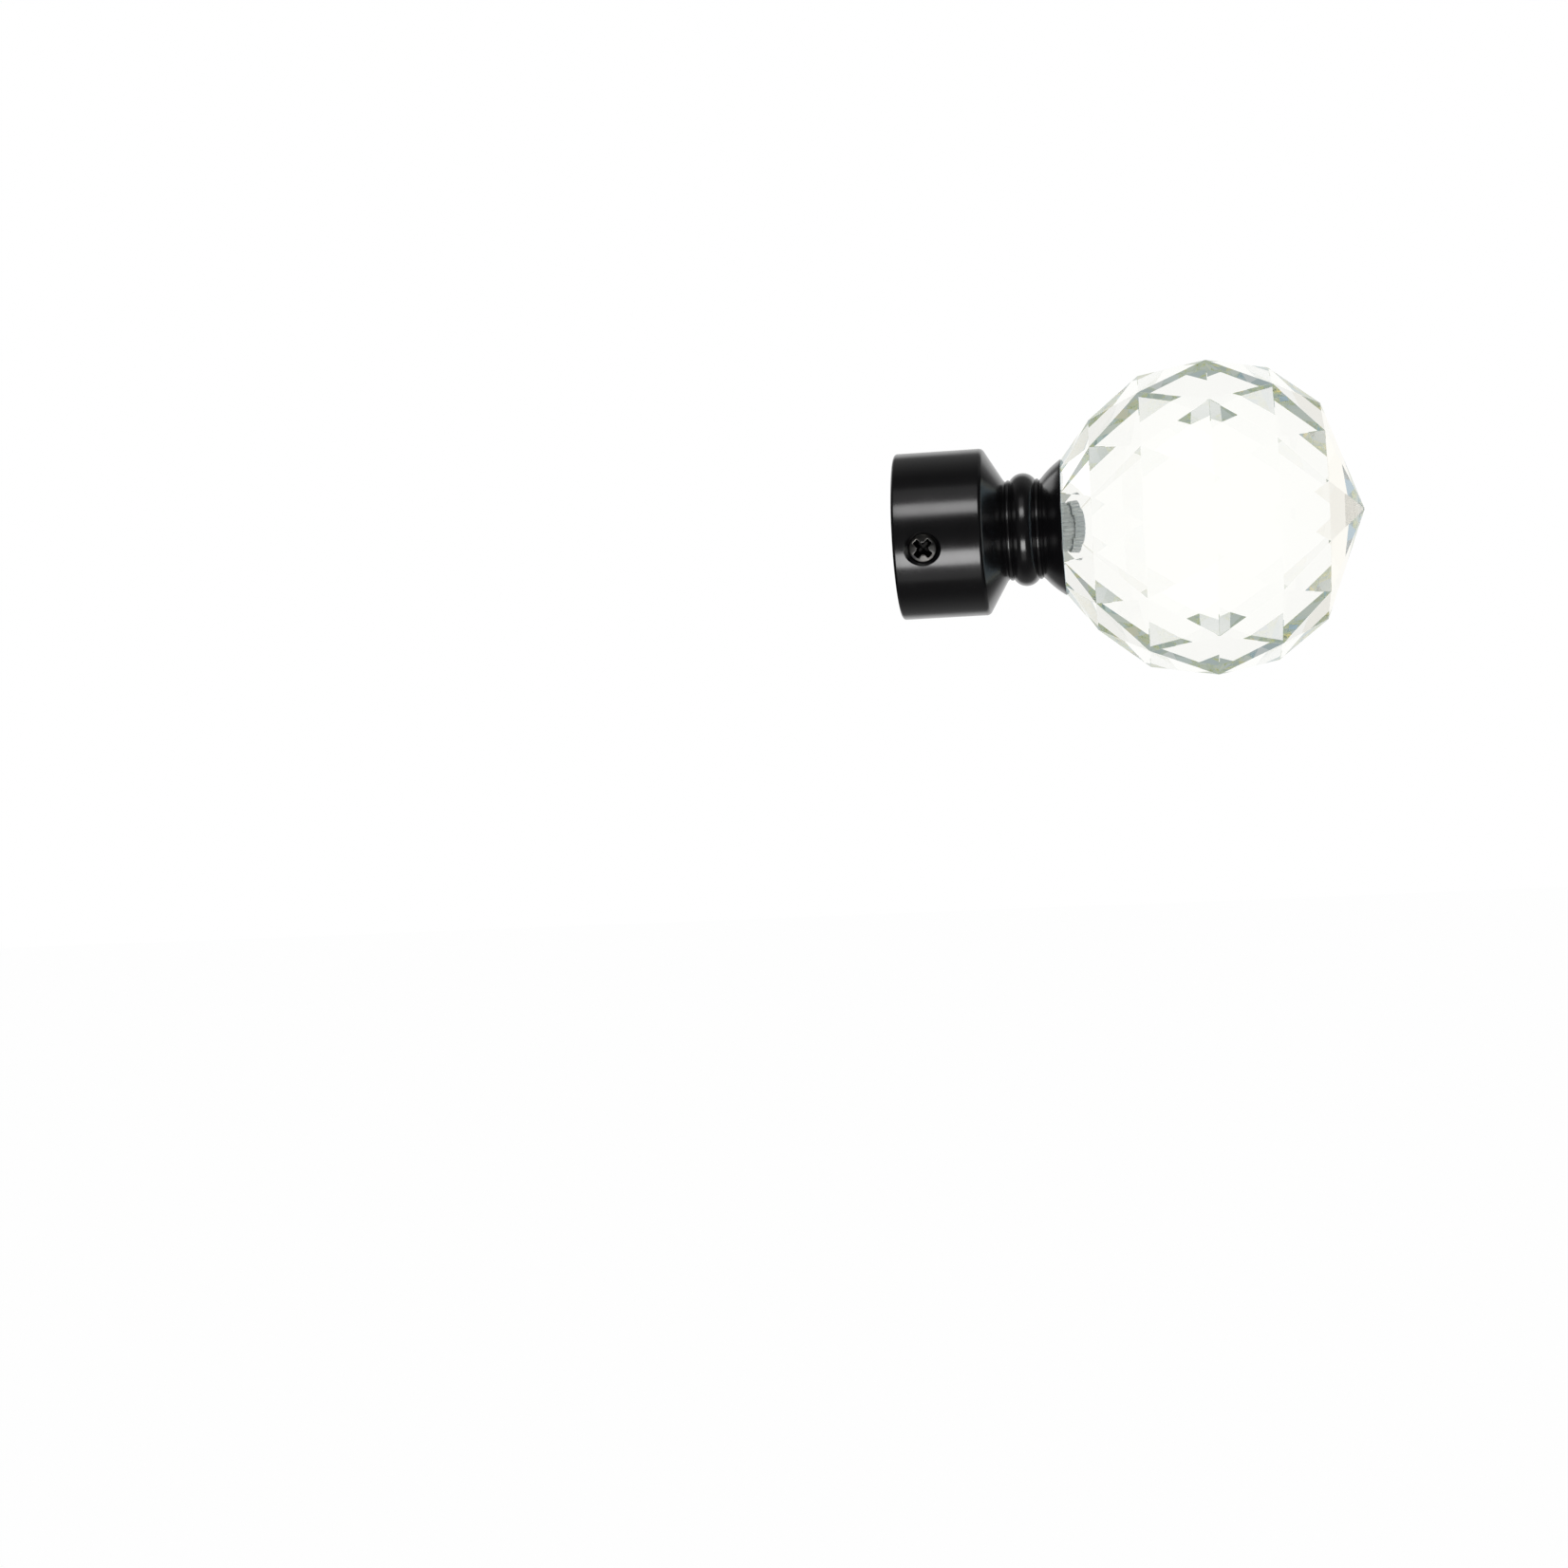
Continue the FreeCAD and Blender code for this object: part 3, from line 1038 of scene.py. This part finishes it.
@dataclass(frozen=True)
class SetScrew:
    """The cross-recess grub screw in the collar's side, made standing on its point."""

    radius: float = 2.3
    thread_radius: float = 2.46
    pitch: float = 0.8
    threaded: Span = (0.5, 3.7)
    length: float = 4.0
    point: float = 0.6
    # The head's rolled edge and slight dome: how far each of its rings is back
    # from the top, and in from the side.
    head_rings: tuple[tuple[float, float], ...] = (
        (0.42, 0.0),
        (0.29, 0.05),
        (0.19, 0.17),
        (0.14, 0.36),
        (0.04, 1.1),
        (0.0, 1.8),
    )
    recess_span: float = 3.7
    recess_slot: float = 1.15
    recess_depth: float = 1.8
    # At its floor a slot is this wide, and this share of its length is left.
    recess_floor: float = 0.42
    recess_taper: float = 0.5
    recess_corner: float = 0.16
    recess_above: float = 0.4
    recess_turn: float = 45.0
    # How far inside the head's top and side the recess's painted shade starts.
    recess_margin: float = 0.3
    core_radius: float = 0.95
    core_taper: float = 0.3
    core_extra: float = 0.3
    core_above: float = 0.1
    worn_from: float = 0.2
    worn_bevel: float = 0.05
    # How far the top of the head is from the finial's axis.
    head_radius: float = 12.2

    def rod(self) -> bpy.types.Object:
        """Turn the screw's core.

        Returns:
            The core, standing on its point.
        """
        stations = [
            (0.0, self.radius - self.point),
            (self.point, self.radius),
            *((self.length - back, self.radius - inset) for back, inset in self.head_rings),
        ]
        rod = turned_solid("finial_set_screw", stations, segments=64)
        settle(rod, X_TO_Z)
        return rod

    def recess_arm(self, turned: float) -> bpy.types.Object:
        """Make the cutter for one tapered, round-ended slot of the cross.

        Args:
            turned: The slot's angle round the screw.

        Returns:
            The cutter.
        """
        height = self.recess_depth + self.recess_above
        floor = self.length - self.recess_depth
        middle = self.length + self.recess_above - height / 2
        deselect_all()
        bpy.ops.mesh.primitive_cube_add(size=1.0, location=(0.0, 0.0, middle * MM))
        arm = bpy.context.object
        arm.name = "recess_cutter"
        arm.scale = (self.recess_span * MM, self.recess_slot * MM, height * MM)
        bpy.ops.object.transform_apply(location=True, rotation=False, scale=True)
        with edit_mode(arm):
            pick(arm, Pick.FACES, lambda _, normal: normal.z < -0.9)
            taper = (self.recess_taper, self.recess_floor / self.recess_slot, 1.0)
            bpy.ops.transform.resize(value=taper, center_override=(0.0, 0.0, floor * MM))
            pick(arm, Pick.EDGES, lambda _, along: abs(along.z) > 0.6)
            bevel(self.recess_corner, steps=3)
            close_up(arm)
        settle(arm, Matrix.Rotation(math.radians(turned), 4, "Z"))
        return arm

    def recess_middle(self) -> bpy.types.Object:
        """Make the cutter for the tapered middle of the cross.

        Returns:
            The cutter.
        """
        floor = self.length - self.recess_depth - self.core_extra
        stations = [
            (floor, self.core_radius * self.core_taper),
            (self.length + self.core_above, self.core_radius),
        ]
        core = turned_solid("recess_core_cutter", stations, segments=32)
        settle(core, X_TO_Z)
        return core

    def wear(self, screw: bpy.types.Object) -> None:
        """Break the head's sharp edges, and show worn metal there.

        Args:
            screw: The screw with its recess and its finishes.
        """
        rim = self.length - self.worn_from
        with edit_mode(screw):
            pick(
                screw,
                Pick.EDGES,
                lambda middle, along: middle.z > rim and abs(along.z) < 0.3,
                sharper=35.0,
            )
            bevel(self.worn_bevel, steps=2, material=slot_of(screw, WORN_METAL))

    def in_shaded_recess(self, middle: Vector, _: Vector) -> bool:
        """Say whether a face of the screw lies in its recess, where shade is painted."""
        deepest = self.recess_depth + self.core_extra + SLACK
        inside = math.hypot(middle.x, middle.y) < self.radius - self.recess_margin
        return inside and self.recess_margin < self.length - middle.z < deepest

    def build(self, place: Matrix) -> bpy.types.Object:
        """Make the finished screw.

        Args:
            place: The side hole's place in the frame.

        Returns:
            The screw, in its hole.
        """
        screw = self.rod()
        coat(screw, SCREW_METAL, WORN_METAL, RECESS_SHADE_METAL)
        carve(screw, self.recess_middle())
        for turned in (self.recess_turn, self.recess_turn + 90.0):
            carve(screw, self.recess_arm(turned))
        self.wear(screw)
        # Painted shade: the faces in the recess get the darker steel.
        paint(screw, RECESS_SHADE_METAL, self.in_shaded_recess)
        foot = self.radius - THREAD_BED
        rib = Thread(foot, self.thread_radius, self.pitch, *self.threaded).make("screw_thread")
        rib.data.materials.append(screw.data.materials[0])
        join(screw, rib)
        sunk = Matrix.Translation((0.0, 0.0, (self.head_radius - self.length) * MM))
        settle(screw, place @ sunk)
        shade(screw, degrees=30.0)
        return screw


@dataclass(frozen=True)
class RidgedInsert:
    """The stud's end in the glass: a rod with straight ridges and one glue groove."""

    end: float = 33.58
    end_bevel: float = 0.25
    radius: float = 2.98
    flutes: int = 24
    flute_depth: float = 0.25
    groove: Span = (30.6, 31.2)
    groove_depth: float = 0.5
    groove_slope: float = 0.12

    def build(self, name: str, grown: float = 0.0, early: float = 0.0) -> bpy.types.Object:
        """Make the insert as a closed solid.

        Args:
            name: The new piece's name.
            grown: How much further out its skin lies.
            early: How much sooner it starts.

        Returns:
            The insert, in its place.
        """
        start, end = SEAT_AT - early, self.end + grown
        full = self.radius + grown
        low = full - self.groove_depth
        points = 4 * self.flutes
        step = 2 * math.pi / points
        insert = add_ring(name, (start, full), points)
        with edit_mode(insert):
            # Every fourth point is drawn in, and makes the floor of a flute.
            pick(
                insert,
                Pick.VERTS,
                lambda point, _: round(math.atan2(point.y, point.z) / step) % 4 == 0,
            )
            ratio = (full - self.flute_depth) / full
            bpy.ops.transform.resize(
                value=(1.0, ratio, ratio), center_override=(start * MM, 0.0, 0.0)
            )
            bpy.ops.mesh.select_all(action="SELECT")
            draw_out([
                (start, full),
                (self.groove[0] - self.groove_slope - grown, full),
                (self.groove[0] - grown, low),
                (self.groove[1] + grown, low),
                (self.groove[1] + self.groove_slope + grown, full),
                (end - self.end_bevel, full),
                (end, full - self.end_bevel),
            ])
            bpy.ops.mesh.edge_face_add()
            pick(insert, Pick.EDGES, lambda middle, _: abs(middle.x - start) < SLACK)
            bpy.ops.mesh.edge_face_add()
            close_up(insert)
        return insert


@dataclass(frozen=True)
class BallStud:
    """The stud: a threaded shank in the collar and a ridged insert in the glass."""

    shank_radius: float = 2.1
    thread_radius: float = 2.5
    pitch: float = 0.8
    shank_start: float = 18.6
    shank_gap: float = 0.02
    shank_bevel: float = 0.5
    # How much of the shank is left plain at its start and at its end.
    plain: Span = (0.6, 0.4)
    insert: RidgedInsert = RidgedInsert()

    def threaded_shank(self) -> bpy.types.Object:
        """Make the shank with its thread.

        Returns:
            The shank, in its place.
        """
        start, end = self.shank_start, SEAT_AT - self.shank_gap
        stations = [
            (start, self.shank_radius - self.shank_bevel),
            (start + self.shank_bevel, self.shank_radius),
            (end, self.shank_radius),
        ]
        shank = turned_solid("stud_shank", stations, segments=48)
        thread = Thread(
            foot=self.shank_radius - THREAD_BED,
            tip=self.thread_radius,
            pitch=self.pitch,
            start=start + self.plain[0],
            end=end - self.plain[1],
        )
        rib = thread.make("stud_thread")
        settle(rib, Z_TO_X)
        join(shank, rib)
        return shank

    def build(self) -> bpy.types.Object:
        """Make the finished stud.

        Returns:
            The stud, in its place.
        """
        stud = self.insert.build("finial_ball_stud")
        join(stud, self.threaded_shank())
        shade(stud, degrees=30.0)
        coat(stud, STUD_METAL)
        return stud


@dataclass(frozen=True)
class CrystalBall:
    """The facetted glass ball: rings of points joined by triangles, a tip and a flat back."""

    across: float = 49.0
    depth: float = 47.2
    back_reach: float = 22.0
    back_across: float = 20.8
    tip_reach: float = 23.5
    ring_angles: tuple[float, ...] = (137.5, 114.4, 88.9, 65.2, 43.3)
    facets: int = 12
    edge_bevel: float = 0.045
    insert: RidgedInsert = RidgedInsert()
    bedding: float = 0.02

    def centre(self) -> float:
        """Return the place of the ball's centre along X."""
        return SEAT_AT + self.back_reach

    def station(self, angle: float) -> Station:
        """Return the station of a ring, from its angle off the ball's tip."""
        turn = math.radians(angle)
        return (self.centre() + self.depth / 2 * math.cos(turn), self.across / 2 * math.sin(turn))

    def grind(self) -> bpy.types.Object:
        """Draw the ball out ring by ring, with half a facet's turn each time.

        Returns:
            The solid ball, with its edges just broken.
        """
        start = (SEAT_AT + SEAT_GAP, self.back_across / 2)
        half_turn = math.pi / self.facets
        ball = add_ring("finial_crystal_ball", start, self.facets)
        with edit_mode(ball):
            bpy.ops.mesh.select_all(action="SELECT")
            present = start
            for angle in self.ring_angles:
                ring = self.station(angle)
                draw_out([present, ring])
                bpy.ops.transform.rotate(
                    value=half_turn, orient_axis="X", center_override=(ring[0] * MM, 0.0, 0.0)
                )
                present = ring
            draw_to_point(present[0], self.centre() + self.tip_reach)
            bpy.ops.mesh.select_all(action="SELECT")
            bpy.ops.mesh.quads_convert_to_tris(quad_method="SHORTEST_DIAGONAL")
            fill_ring(ball, start)
            close_up(ball)
            bpy.ops.mesh.select_all(action="SELECT")
            bevel(self.edge_bevel, steps=1)
        return ball

    def in_insert_hole(self, middle: Vector, _: Vector) -> bool:
        """Say whether a face of the ball lies in the insert's hole."""
        margin = 0.1
        along = SEAT_AT + margin < middle.x < self.insert.end + margin
        return along and radius_of(middle) < self.insert.radius + margin

    def build(self) -> bpy.types.Object:
        """Make the finished ball, with the hole that the stud's insert is bedded in.

        Returns:
            The ball, in its place.
        """
        ball = self.grind()
        coat(ball, CutCrystal(), BEDDED_METAL)
        carve(ball, self.insert.build("insert_hole_cutter", grown=self.bedding, early=OVERCUT))
        paint(ball, BEDDED_METAL, self.in_insert_hole)
        return ball


# Studio


@dataclass(frozen=True)
class Softbox:
    """A soft studio lamp, aimed at the frame's origin."""

    name: str
    place: tuple[float, float, float]
    size: tuple[float, float]
    watts: float

    def add(self) -> None:
        """Put the lamp in the scene."""
        lamp = bpy.data.lights.new(self.name, "AREA")
        lamp.shape = "RECTANGLE"
        lamp.size, lamp.size_y = self.size
        lamp.energy = self.watts
        holder = bpy.data.objects.new(self.name, lamp)
        bpy.context.scene.collection.objects.link(holder)
        holder.location = self.place
        # Seen through the glass, a lamp would leave bright specks in it.
        holder.visible_transmission = False
        holder.rotation_euler = (-Vector(self.place)).to_track_quat("-Z", "Y").to_euler()


@dataclass(frozen=True)
class Viewpoint:
    """Where the photograph was taken from, in metres and degrees, and its lens in mm."""

    across: float = 0.037403
    back: float = 0.386209
    yaw: float = 8.5429
    pitch: float = -5.531
    roll: float = 3.5267
    lens: float = 56.659
    sensor: float = 36.0
    nearest: float = 0.01

    def add(self) -> None:
        """Put the camera in the scene."""
        camera = bpy.data.cameras.new("camera")
        camera.lens = self.lens
        camera.sensor_width = self.sensor
        camera.clip_start = self.nearest
        holder = bpy.data.objects.new("camera", camera)
        bpy.context.scene.collection.objects.link(holder)
        turn = (
            Matrix.Rotation(math.radians(self.yaw), 4, "Z")
            @ Matrix.Rotation(math.radians(self.pitch), 4, "X")
            @ Matrix.Rotation(math.radians(self.roll), 4, "Y")
            @ Matrix.Rotation(math.pi / 2, 4, "X")
        )
        holder.matrix_world = Matrix.Translation((self.across, -self.back, 0.0)) @ turn
        bpy.context.scene.camera = holder


def grey(level: float) -> Colour:
    """Return a grey."""
    return (level, level, level)


def add_ramp(
    tree: bpy.types.NodeTree, along: bpy.types.NodeSocket, glows: Sequence[Glow]
) -> bpy.types.NodeSocket:
    """Add a ramp of colours along one part of a direction.

    Args:
        tree: The tree that takes the nodes.
        along: The direction's part, from -1 to 1.
        glows: The ramp's pairs of a place and a colour.

    Returns:
        The colour's socket.
    """
    reach = add_node(tree, "ShaderNodeMapRange")
    reach.inputs["From Min"].default_value = -1.0
    ramp = add_node(tree, "ShaderNodeValToRGB")
    set_stops(ramp, [((place + 1) / 2, colour) for place, colour in glows])
    link(tree, along, reach.inputs["Value"])
    link(tree, reach.outputs["Result"], ramp.inputs["Fac"])
    return ramp.outputs["Color"]


@dataclass(frozen=True)
class Room:
    """The tones of the room around the finial, by the direction a ray goes in.

    Each is given as pairs of a place and a colour, for mirrors (glossy) and for
    the glass (through). The main pairs go by the direction's Y, from -1 at the
    camera's side to 1 behind the finial. The sides go by its X, and the main
    colour is multiplied by theirs. deep goes by X too: it is most of what is
    left of the room after two or more reflections inside the glass. It doesn't
    dim the light that falls on the metal in there.
    """

    glossy: tuple[Glow, ...] = (
        (-1.0, grey(0.06)),
        (0.0, grey(0.08)),
        (0.46, grey(0.25)),
        (0.75, grey(0.28)),
        (0.84, grey(1.0)),
        (1.0, grey(1.0)),
    )
    glossy_sides: tuple[Glow, ...] = (
        (-1.0, grey(0.15)),
        (-0.72, grey(0.15)),
        (-0.6, grey(1.0)),
        (0.6, grey(1.0)),
        (0.72, grey(0.15)),
        (1.0, grey(0.15)),
    )
    through: tuple[Glow, ...] = (
        (-1.0, (0.72, 0.74, 0.75)),
        (-0.88, (0.6, 0.63, 0.64)),
        (-0.7, (0.28, 0.33, 0.36)),
        (-0.35, (0.42, 0.5, 0.52)),
        (-0.15, (0.74, 0.76, 0.62)),
        (0.1, grey(1.0)),
        (1.0, grey(1.07)),
    )
    through_sides: tuple[Glow, ...] = (
        (-1.0, (0.92, 0.88, 0.81)),
        (-0.62, (0.97, 0.95, 0.91)),
        (-0.5, grey(1.0)),
        (0.82, grey(1.0)),
        (0.88, (0.39, 0.52, 0.62)),
        (1.0, (0.39, 0.52, 0.62)),
    )
    deep: tuple[Glow, ...] = (
        (-1.0, (0.66, 0.55, 0.3)),
        (-0.7, (0.5, 0.5, 0.34)),
        (-0.4, (0.36, 0.42, 0.41)),
        (0.4, (0.31, 0.38, 0.41)),
        (0.7, (0.3, 0.42, 0.5)),
        (1.0, (0.34, 0.48, 0.62)),
    )
    deep_share: float = 0.85

    def add_to(
        self, tree: bpy.types.NodeTree, direction: bpy.types.NodeSocket
    ) -> bpy.types.NodeSocket:
        """Add the nodes that say how bright the room is in a direction.

        Args:
            tree: The world's or the floor's tree.
            direction: A unit vector from the finial.

        Returns:
            The room's colour, for mirrors or through glass as the ray asks.
        """
        split = add_node(tree, "ShaderNodeSeparateXYZ")
        link(tree, direction, split.inputs[0])
        views = []
        for main, sides in (
            (self.glossy, self.glossy_sides),
            (self.through, self.through_sides),
        ):
            view = add_node(tree, "ShaderNodeVectorMath", operation="MULTIPLY")
            link(tree, add_ramp(tree, split.outputs["Y"], main), view.inputs[0])
            link(tree, add_ramp(tree, split.outputs["X"], sides), view.inputs[1])
            views.append(view.outputs[0])
        glossy, through = views
        path = add_node(tree, "ShaderNodeLightPath")
        # The depths are whole numbers, so each test has its limit between two.
        often = add_math(tree, "GREATER_THAN", path.outputs["Glossy Depth"], 1.5)
        unlit = add_math(tree, "LESS_THAN", path.outputs["Diffuse Depth"], 0.5)
        both = add_math(tree, "MULTIPLY", often, unlit)
        share = add_math(tree, "MULTIPLY", both, self.deep_share)
        deep = add_ramp(tree, split.outputs["X"], self.deep)
        dulled = mix_colours(tree, share, through, deep)
        return mix_colours(tree, path.outputs["Is Transmission Ray"], glossy, dulled)


@dataclass(frozen=True)
class Studio:
    """A white sweep behind the finial, a dim room in front of it and soft lamps."""

    room: Room = Room()
    floor_level: float = -0.75
    floor_span: float = 9.0
    floor_colour: Colour = grey(0.9)
    floor_white: float = 0.99
    reflections: int = 64
    lamps: tuple[Softbox, ...] = (
        Softbox("upper_softbox", place=(-0.02, -0.62, 0.46), size=(0.4, 0.21), watts=1.4),
        Softbox("upper_fill", place=(-0.02, -0.38, 0.62), size=(0.4, 0.24), watts=0.12),
        Softbox("lower_softbox", place=(-0.02, -0.63, -0.395), size=(0.4, 0.26), watts=2.4),
        Softbox("lower_fill", place=(-0.02, -0.42, -0.6), size=(0.4, 0.24), watts=0.12),
        Softbox("mouth_softbox", place=(-0.5, 0.36, 0.3), size=(0.34, 0.34), watts=0.6),
    )

    def add_world(self) -> None:
        """Make the room: white to the camera, and dim towards the camera's side."""
        world = bpy.data.worlds.new("studio")
        bpy.context.scene.world = world
        world.use_nodes = True
        tree = world.node_tree
        tree.nodes.clear()
        out = add_node(tree, "ShaderNodeOutputWorld")
        room = add_node(tree, "ShaderNodeBackground", Strength=1.0)
        sweep = add_node(tree, "ShaderNodeBackground", Strength=1.0)
        sweep.inputs["Color"].default_value = (*grey(1.0), 1.0)
        path = add_node(tree, "ShaderNodeLightPath")
        place = add_node(tree, "ShaderNodeTexCoord")
        link(tree, self.room.add_to(tree, place.outputs["Generated"]), room.inputs["Color"])
        seen = mix_shaders(tree, path.outputs["Is Camera Ray"], room.outputs[0], sweep.outputs[0])
        link(tree, seen, out.inputs["Surface"])

    def floor_finish(self) -> bpy.types.Material:
        """Make the floor nearly white to the camera, and the room to metal and glass.

        Returns:
            The material.
        """
        material, tree = new_material("pale_floor")
        out = add_node(tree, "ShaderNodeOutputMaterial")
        plain = add_node(tree, "ShaderNodeBsdfDiffuse")
        plain.inputs["Color"].default_value = (*self.floor_colour, 1.0)
        white = add_node(tree, "ShaderNodeEmission", Strength=1.0)
        room = add_node(tree, "ShaderNodeEmission", Strength=1.0)
        path = add_node(tree, "ShaderNodeLightPath")
        place = add_node(tree, "ShaderNodeNewGeometry")
        aim = add_node(tree, "ShaderNodeVectorMath", operation="NORMALIZE")
        link(tree, place.outputs["Position"], aim.inputs[0])
        link(tree, self.room.add_to(tree, aim.outputs[0]), room.inputs["Color"])
        share = add_math(tree, "MULTIPLY", path.outputs["Is Camera Ray"], self.floor_white)
        seen = mix_shaders(tree, share, plain.outputs[0], white.outputs[0])
        mirror, glass = path.outputs["Is Glossy Ray"], path.outputs["Is Transmission Ray"]
        found = mix_shaders(tree, add_math(tree, "ADD", mirror, glass), seen, room.outputs[0])
        link(tree, found, out.inputs["Surface"])
        return material

    def add_floor(self) -> bpy.types.Object:
        """Lay the plain pale floor, well below the finial.

        Returns:
            The floor.
        """
        deselect_all()
        bpy.ops.mesh.primitive_plane_add(
            size=self.floor_span, location=(0.0, 0.0, self.floor_level)
        )
        floor = bpy.context.object
        floor.name = "floor"
        floor.data.materials.append(self.floor_finish())
        return floor

    def build(self) -> None:
        """Put the world, the floor and the lamps in the scene."""
        bpy.context.scene.view_settings.view_transform = "Standard"
        # Light that is turned back often inside the ball still gets out of it.
        bpy.context.scene.cycles.glossy_bounces = self.reflections
        bpy.context.scene.cycles.transmission_bounces = self.reflections
        bpy.context.scene.cycles.max_bounces = 2 * self.reflections
        self.add_world()
        self.add_floor()
        for lamp in self.lamps:
            lamp.add()


def place_piece(piece: bpy.types.Object, node: str) -> None:
    """Let a finished piece ride on the frame in place of its CAD node.

    Args:
        piece: The finished piece.
        node: The CAD node that it replaces.
    """
    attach(piece, "root")
    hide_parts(node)
    LOG.info("%s: %d faces, for %s", piece.name, len(piece.data.polygons), node)


def main() -> None:
    """Build the finial around the frame and light it."""
    logging.basicConfig(level=logging.INFO, format="%(name)s: %(message)s")
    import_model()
    Viewpoint().add()
    collar = Collar()
    place_piece(collar.build(), "collar")
    place_piece(SetScrew().build(collar.hole_place()), "set_screw")
    place_piece(BallStud().build(), "ball_stud")
    place_piece(CrystalBall().build(), "crystal_ball")
    Studio().build()
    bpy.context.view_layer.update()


if __name__ == "__main__":
    main()
